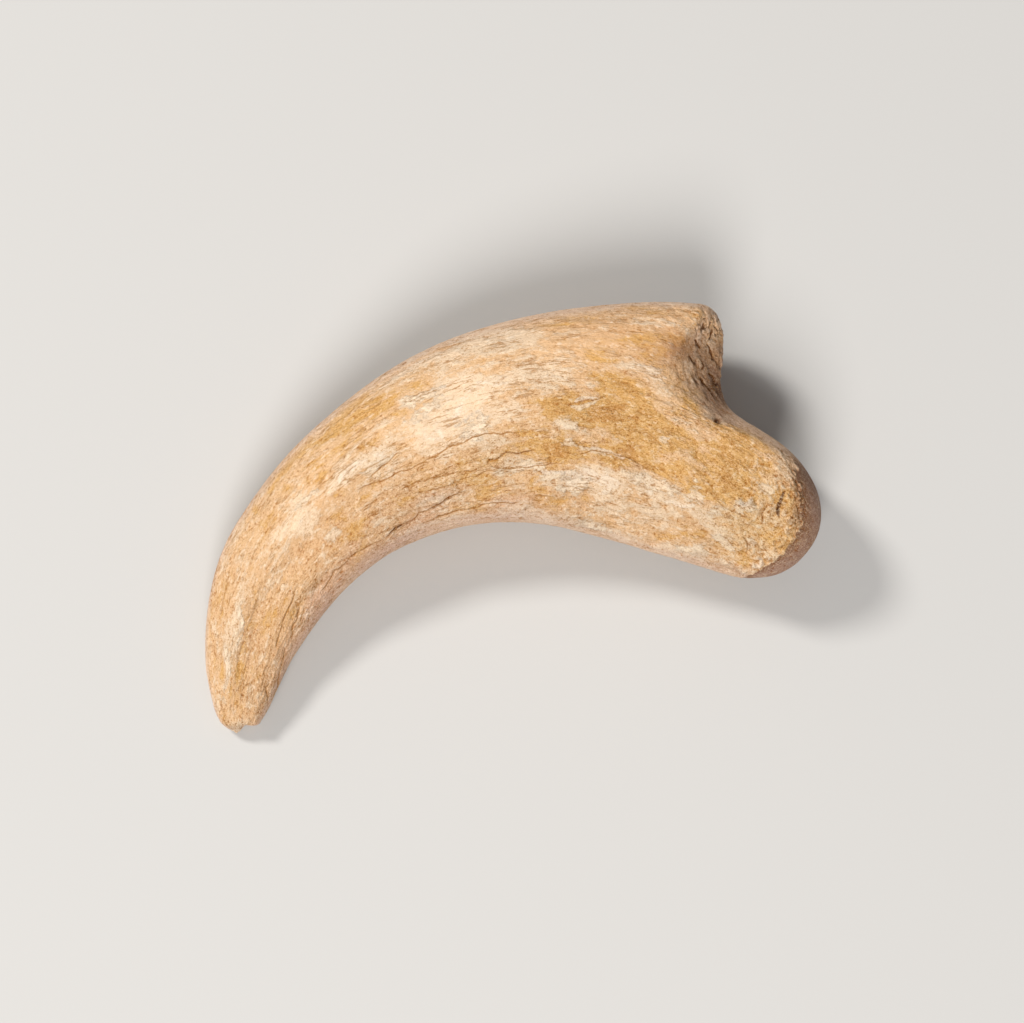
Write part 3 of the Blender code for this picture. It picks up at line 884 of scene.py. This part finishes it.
def boneMaterial():
    f = Finish("fossilBone")
    c = boneFinish
    straight = f.attribute("grainPlace", "Vector")
    raised = f.attribute("raised")
    swollen = raised * c["raisedScale"]
    socket, cap = f.attribute("socketShare"), f.attribute("capShare")
    rim, distal = f.attribute("rimLightShare"), f.attribute("distalShare")
    stain = {tone: f.attribute(tone + "Stain") for tone in stains}
    calm, rough = stain["calm"], stain["rough"]
    sand = f.stretched(straight, c["sandTightness"], (0, 0, 0))
    middled = {"sand": f.cells(sand, "Color") - 0.5}  # each grain's tone, with 0 as its middle
    for name, (place, tightness, shift, detail, roughness, distortion) in grains.items():
        vector = f.stretched(f.attribute(place, "Vector"), tightness, shift)
        middled[name] = f.noise(vector, detail, roughness, distortion) - 0.5

    def mixed(name, begin=0.0):
        total = begin
        for grainName, share in mixes[name].items():
            total = total + middled[grainName] * share
        return total

    # layers of the surface: pale ones on top, ochre where they have flaked away
    plates = middled["plates"] * (1.0 - distal * c["platesLostAtTip"] - calm * c["platesLostInCalm"])
    streaks = middled["streaks"] * (c["streaks"] - calm * c["streaksLostInCalm"])
    stained = (stain["cream"] - stain["ochre"]) * c["stainedLayer"]
    layer = mixed("layer", plates + streaks + stained + raised * c["raisedLayer"] + c["layerMiddle"])
    creamLayer = layer.ramped(*ramps["creamLayer"])
    whiteLayer = layer.ramped(*ramps["whiteLayer"])
    ochreLayer = (layer + stain["dull"] * c["dullLayer"]).ramped(*ramps["ochreLayer"])
    deepLayer = layer.ramped(*ramps["deepLayer"])
    chalk = mixed("chalk", stain["chalk"]).ramped(*ramps["chalk"])
    # thin dark lines along the grain, here and there
    longPlaces = middled["dirt"].ramped(*ramps["longLinePlaces"]) + stain["lined"] * c["linedPlaces"]
    hairPlaces = middled["dirt"].ramped(*ramps["hairLinePlaces"]) * stain["lined"]
    darkLines = abs(middled["threads"]).ramped(*ramps["longLine"]) * longPlaces
    darkLines = darkLines + abs(middled["hairs"]).ramped(*ramps["hairLine"]) * hairPlaces
    # grains and flecks of nearly the same hue, and a few tiny pits
    busy = 1.0 - calm * c["grainsLostInCalm"] + rough * c["grainsMoreInRough"]
    paleFleck = mixed("paleFleck").ramped(*ramps["paleFleck"])
    darkFleck = mixed("darkFleck").ramped(*ramps["darkFleck"])
    pits = middled["sand"].ramped(*ramps["pits"]) * (1.0 - calm * c["pitsLostInCalm"])
    tone = mixed("tone", paleFleck * c["fleckLight"] - darkFleck * c["fleckDark"]) * busy
    # painted light: rough places, mostly the heel, a little brighter
    tone = tone + rough * c["roughLight"]
    # cracks, thinner and broken where they are weak, and flakes
    crackStrength = f.attribute("crackStrength") * middled["chips"].ramped(*ramps["crackBroken"])
    crackAway = abs(mixed("crack", f.attribute("crackDistance")))
    crackLine = (crackAway - crackStrength * c["crackSwell"]).ramped(*ramps["crackLine"])
    crackLine = crackLine * crackStrength.ramped(*ramps["crackShows"])
    flake = mixed("flake", f.attribute("flakeDistance")).ramped(*ramps["flake"])

    where = {
        "dull": stain["dull"],
        "ochreLayer": ochreLayer,
        "deepLayer": deepLayer,
        "creamLayer": creamLayer,
        "whiteLayer": whiteLayer,
        "heel": rough.ramped(*ramps["heel"]),
        "rim": rim,
        "purpleEdgeShade": stain["purpleEdgeShade"],
        "cap": cap,
        "capEdge": f.attribute("capEdge"),
        "chalk": chalk,
        "paleFleck": paleFleck * (1.0 - rim * c["flecksLostAtRim"]) * (1.0 - cap),
        "darkFleck": darkFleck,
        "hollow": (-swollen).ramped(*ramps["uneven"]),
        "ridge": swollen.ramped(*ramps["uneven"]),
        "brownAndShade": stain["brownAndShade"] * mixed("brownAndShade", c["brownShare"]),
        "socketRidge": socket * swollen.ramped(*ramps["socketRidge"]),
        "shadow": stain["shadow"],
        "socketHollowShade": socket * (-swollen).ramped(*ramps["socketHollowShade"]),
        "pits": pits,
        "threads": darkLines,
        "flake": flake,
        "crackLine": crackLine * (1.0 - cap * c["linesLostInCap"]),
        "deepCrack": crackLine * crackStrength.ramped(*ramps["deepCrack"]),
        "hole": f.attribute("holeShadeShare"),
    }
    colour = c["tan"]
    for name, (strength, coatTone) in coats.items():
        colour = f.blend(where[name] * strength, colour, c[coatTone])
    shade = (-tone).ramped(*ramps["shade"]) * c["shadeStrength"]
    light = tone.ramped(*ramps["light"]) * c["lightStrength"]
    colour = f.blend(shade, colour, c["grainShade"], "MULTIPLY")
    colour = f.blend(light, colour, c["grainLight"])
    f.join(colour, f.shader.inputs["Base Color"])
    f.join(mixed("roughness", c["roughness"] - cap * c["capPolish"]), f.shader.inputs["Roughness"])
    f.shader.inputs["Specular IOR Level"].default_value = c["specular"]

    layerBump = creamLayer + whiteLayer + chalk * c["chalkBump"] - ochreLayer - deepLayer
    grainBump = mixed("bump", c["grainBump"] - f.cells(sand, "Distance") * c["sandBump"]) * busy
    bump = layerBump * c["layerBump"] + grainBump - darkLines * c["lineBump"] - crackLine * c["crackBump"]
    sockets = {"Height": bump, "Distance": c["bumpHeight"] * mm, "Strength": 1.0}
    f.join(f.add("ShaderNodeBump", {}, sockets), f.shader.inputs["Normal"])
    return f.material


claw.data.materials.clear()
claw.data.materials.append(boneMaterial())
chosen(claw)
bpy.ops.object.shade_smooth()
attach(claw, "root")
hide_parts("claw")
print("bone finished")

# floor, lights and camera
floorLook = {
    "size": 6.0,
    "colour": srgb(196, 194, 190),
    "roughness": 0.85,
}


def makeFloor():
    bpy.ops.object.select_all(action="DESELECT")
    bpy.ops.mesh.primitive_plane_add(size=floorLook["size"])
    floor = bpy.context.active_object
    floor.name = "floor"
    f = Finish("floorPaper")
    f.shader.inputs["Base Color"].default_value = floorLook["colour"]
    f.shader.inputs["Roughness"].default_value = floorLook["roughness"]
    floor.data.materials.append(f.material)


makeFloor()

# places in metres from the middle of the floor; power in watts
lights = {
    "key": {"place": (-1.6, 1.12, 1.92), "size": 0.56, "power": 51.5, "colour": (1.0, 0.985, 0.965)},
    "front": {"place": (-0.32, -1.6, 1.76), "size": 1.28, "power": 53.0, "colour": (1.0, 0.985, 0.98)},
}
surround = {"colour": (0.97, 0.97, 1.0, 1.0), "strength": 0.26}


def makeLights():
    for name, light in lights.items():
        bpy.ops.object.light_add(type="AREA", location=light["place"])
        lamp = bpy.context.active_object
        lamp.name = name + "Light"
        lamp.data.shape = "DISK"
        lamp.data.size = light["size"]
        lamp.data.energy = light["power"]
        lamp.data.color = light["colour"]
        lamp.rotation_euler = (-Vector(light["place"])).to_track_quat("-Z", "Y").to_euler()
    world = bpy.data.worlds.new("softRoom")
    world.use_nodes = True
    background = world.node_tree.nodes["Background"]
    background.inputs["Color"].default_value = surround["colour"]
    background.inputs["Strength"].default_value = surround["strength"]
    bpy.context.scene.world = world
    bpy.context.scene.view_settings.view_transform = "Standard"


makeLights()
print("floor and lights set")

cameraLook = {
    "lens": 100.0,
    "sensor": 36.0,
    "frameWidth": 248.9,  # millimetres of the bone's plane that the picture spans
    "aim": (-0.24, 1.46),
}


def makeCamera():
    distance = cameraLook["frameWidth"] * cameraLook["lens"] / cameraLook["sensor"]
    place = Vector(fromBone((*cameraLook["aim"], distance)))
    bpy.ops.object.camera_add(location=place)
    camera = bpy.context.active_object
    camera.matrix_world = Matrix.Translation(place) @ turn.to_4x4()  # square on to the bone's plane
    camera.data.lens = cameraLook["lens"]
    camera.data.sensor_width = cameraLook["sensor"]
    bpy.context.scene.camera = camera
    print("camera at", [round(value, 3) for value in place])


makeCamera()
